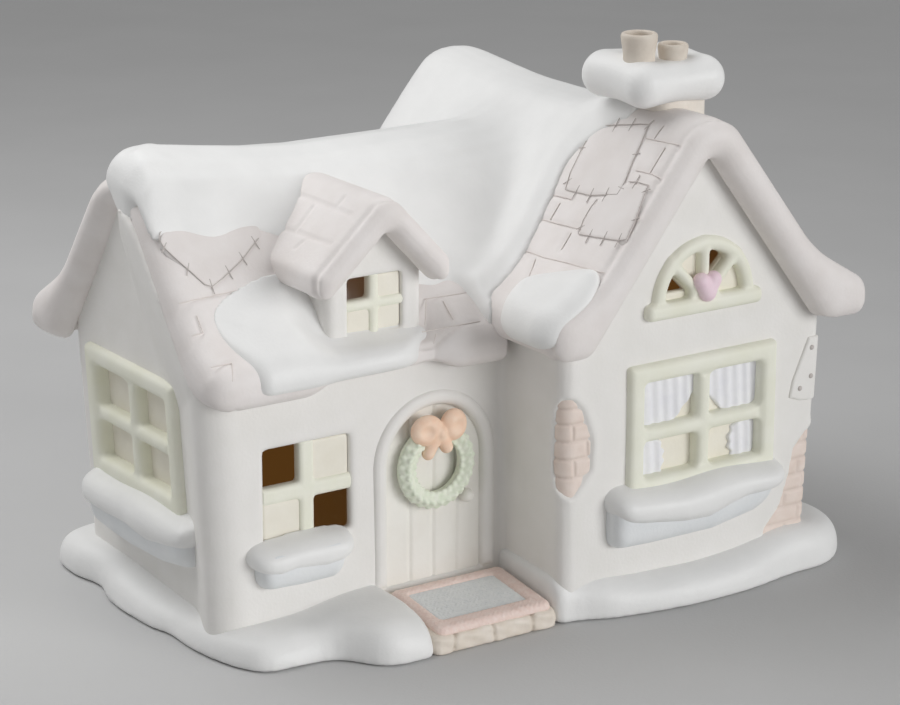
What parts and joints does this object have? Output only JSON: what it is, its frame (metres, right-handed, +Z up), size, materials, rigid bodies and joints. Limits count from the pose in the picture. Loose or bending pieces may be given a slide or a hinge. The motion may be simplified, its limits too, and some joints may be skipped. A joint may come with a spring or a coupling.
{
  "type": "lit ceramic village house",
  "caption": "Bisque porcelain village cottage with two snow-laden bell-cast roofs, dormer, chimney, wreathed door and window boxes, lit from inside by a clip-in bulb holder.",
  "frame": {"origin": "centre of the bounding box at its bottom, under the middle of the snowy ground", "axes": "+Z up, -Y out of the front with the door, +X to the right as seen from the front"},
  "size_m": [0.196, 0.137, 0.154],
  "materials": {
    "wall_bisque": "matt white bisque",
    "snow_bisque": "smooth white bisque",
    "roof_bisque": "matt pale mauve-grey wash",
    "trim_bisque": "matt pale yellow-green wash",
    "pane_bisque": "matt cream wash",
    "curtain_bisque": "matt pale lilac wash",
    "box_bisque": "matt blue-grey wash",
    "brick_bisque": "matt pinkish beige wash",
    "step_bisque": "matt beige wash",
    "pot_bisque": "matt taupe wash",
    "door_bisque": "matt cream wash",
    "wreath_bisque": "matt pale green wash",
    "bow_bisque": "matt peach wash",
    "mat_border_bisque": "matt pink wash",
    "mat_field_bisque": "matt blue-grey wash",
    "heart_bisque": "matt pink-lilac wash",
    "holder_plastic": "moulded white plastic",
    "clip_steel": "spring steel strip",
    "socket_brass": "drawn brass",
    "bulb_glass": "clear glass",
    "bulb_metal": "rolled brass",
    "bulb_insulator": "black glass-like insulator",
    "filament_wire": "thin wire"
  },
  "bodies": {
    "house": {"house_walls": "wall_bisque", "dormer_walls": "wall_bisque", "snow_base": "snow_bisque", "main_roof_snow": "snow_bisque", "main_eave_snow": "snow_bisque", "gable_roof_snow": "snow_bisque", "gable_eave_snow": "snow_bisque", "chimney_snow_cap": "snow_bisque", "front_box_snow": "snow_bisque", "side_box_snow": "snow_bisque", "parlour_box_snow": "snow_bisque", "main_roof": "roof_bisque", "gable_roof": "roof_bisque", "dormer_roof": "roof_bisque", "main_roof_patch": "roof_bisque", "gable_patch_upper": "roof_bisque", "gable_patch_lower": "roof_bisque", "front_sash": "trim_bisque", "dormer_sash": "trim_bisque", "side_window_frame": "trim_bisque", "parlour_window_frame": "trim_bisque", "fan_window_frame": "trim_bisque", "front_panes": "pane_bisque", "dormer_panes": "pane_bisque", "side_window_panes": "pane_bisque", "parlour_window_panes": "pane_bisque", "fan_window_panes": "pane_bisque", "curtains": "curtain_bisque", "front_window_box": "box_bisque", "side_window_box": "box_bisque", "parlour_window_box": "box_bisque", "brick_patch": "brick_bisque", "brick_corner": "brick_bisque", "chimney_stack": "brick_bisque", "door_step": "step_bisque", "chimney_pot_tall": "pot_bisque", "chimney_pot_short": "pot_bisque", "door_leaf": "door_bisque", "door_surround": "door_bisque", "door_knob": "door_bisque", "wall_patch": "door_bisque", "wreath": "wreath_bisque", "bow": "bow_bisque", "doormat_border": "mat_border_bisque", "doormat_field": "mat_field_bisque", "heart_ornament": "heart_bisque"},
    "light_unit": {"lampholder": "holder_plastic", "socket_shell": "socket_brass", "socket_contact": "socket_brass", "holder_clips": "clip_steel"},
    "bulb_tip": {"bulb_contact": "bulb_metal"},
    "bulb": {"bulb_glass": "bulb_glass", "bulb_stem": "bulb_glass", "bulb_filament": "filament_wire", "bulb_shell": "bulb_metal", "bulb_insulator": "bulb_insulator"}
  },
  "joints": [
    {"name": "light_pull", "type": "slide", "parent": "house", "child": "light_unit", "axis": [0, 1, 0], "range_m": [0, 0.09]},
    {"name": "bulb_advance", "type": "slide", "parent": "light_unit", "child": "bulb_tip", "axis": [0, -1, 0], "range_m": [0, 0.0077]},
    {"name": "bulb_turn", "type": "hinge", "parent": "bulb_tip", "child": "bulb", "pos_m": [0.012, 0.03, 0.034], "axis": [0, -1, 0], "range_deg": [0, 1080]}
  ],
  "couplings": [
    {"joint": "bulb_advance", "follows": "bulb_turn", "m_per_rad": 0.00040425}
  ]
}
